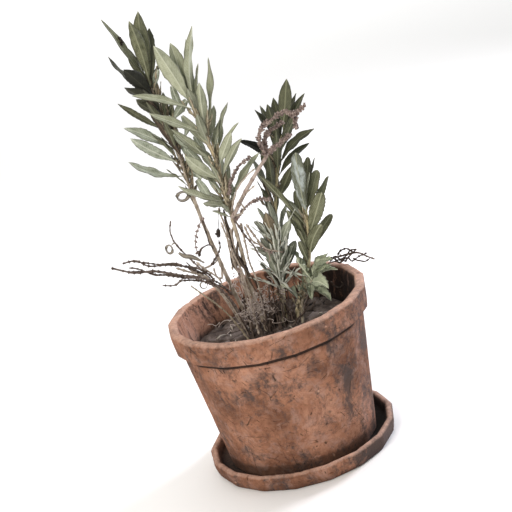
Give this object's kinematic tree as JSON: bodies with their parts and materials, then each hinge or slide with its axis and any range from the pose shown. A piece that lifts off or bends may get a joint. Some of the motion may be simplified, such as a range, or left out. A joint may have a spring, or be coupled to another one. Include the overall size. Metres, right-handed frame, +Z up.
{
  "type": "potted dead shrub",
  "caption": "Dead narrow-leaved shrub with dried flower spikes, standing in dry soil in a round terracotta pot on its saucer.",
  "frame": {"origin": "centre of the saucer's underside, where the object stands", "axes": "+Z up along the pot's axis; -Y towards the viewer, the side the plant is seen from; +X to the viewer's right, away from the side the tall stems lean to"},
  "size_m": [0.223, 0.18, 0.414],
  "materials": {
    "dead_twig": "dead twig, dark brown, rough",
    "dried_flower": "papery dry calyces, purple-brown",
    "flower_stalk_wood": "dry, pinkish beige, ribbed",
    "dead_leaf_back": "dry leaf, dark olive",
    "dead_leaf_low": "dry leaf, pale green",
    "dead_leaf_pale": "dry leaf, pale sage, soft sheen",
    "dead_leaf_right": "dry leaf, olive with a whitish bloom",
    "dead_leaf_short": "dry leaf, blue-grey green",
    "dead_leaf_tall": "dry leaf, olive grey, lighter midrib",
    "pot_terracotta": "fired clay, matt, soot stains and fine scratches",
    "saucer_terracotta": "fired clay, matt, blackened on one side",
    "dry_soil": "dry, lumpy, dark grey-brown",
    "stem_wood": "dead bark, grey-beige, fine ridges"
  },
  "bodies": {
    "root": {"curled_twig": "dead_twig", "dead_stem_front": "dead_twig", "dead_stem_rear": "dead_twig", "flower_head_low": "dried_flower", "flower_head_mid": "dried_flower", "flower_head_top": "dried_flower", "flower_side_lower": "dried_flower", "flower_side_upper": "dried_flower", "flower_stalk": "flower_stalk_wood", "leaf_back_01": "dead_leaf_back", "leaf_back_02": "dead_leaf_back", "leaf_back_03": "dead_leaf_back", "leaf_back_04": "dead_leaf_back", "leaf_back_05": "dead_leaf_back", "leaf_low_01": "dead_leaf_low", "leaf_pale_01": "dead_leaf_pale", "leaf_pale_02": "dead_leaf_pale", "leaf_pale_03": "dead_leaf_pale", "leaf_pale_04": "dead_leaf_pale", "leaf_pale_05": "dead_leaf_pale", "leaf_pale_06": "dead_leaf_pale", "leaf_pale_07": "dead_leaf_pale", "leaf_pale_08": "dead_leaf_pale", "leaf_pale_09": "dead_leaf_pale", "leaf_pale_10": "dead_leaf_pale", "leaf_pale_11": "dead_leaf_pale", "leaf_pale_12": "dead_leaf_pale", "leaf_pale_13": "dead_leaf_pale", "leaf_right_01": "dead_leaf_right", "leaf_right_02": "dead_leaf_right", "leaf_right_03": "dead_leaf_right", "leaf_right_04": "dead_leaf_right", "leaf_right_05": "dead_leaf_right", "leaf_right_06": "dead_leaf_right", "leaf_short_01": "dead_leaf_short", "leaf_short_02": "dead_leaf_short", "leaf_tall_01": "dead_leaf_tall", "leaf_tall_02": "dead_leaf_tall", "leaf_tall_03": "dead_leaf_tall", "leaf_tall_04": "dead_leaf_tall", "leaf_tall_05": "dead_leaf_tall", "leaf_tall_06": "dead_leaf_tall", "leaf_tall_07": "dead_leaf_tall", "leaf_tall_08": "dead_leaf_tall", "leaf_tall_09": "dead_leaf_tall", "pot": "pot_terracotta", "saucer": "saucer_terracotta", "soil": "dry_soil", "spray_left_hook": "dead_twig", "spray_left_knotted": "dead_twig", "spray_left_long": "dead_twig", "stem_back": "stem_wood", "stem_low": "stem_wood", "stem_pale": "stem_wood", "stem_right": "stem_wood", "stem_short": "stem_wood", "stem_tall": "stem_wood", "straw": "dead_twig", "twig_over_rim": "dead_twig", "twisted_twig": "dead_twig"}
  },
  "joints": []
}
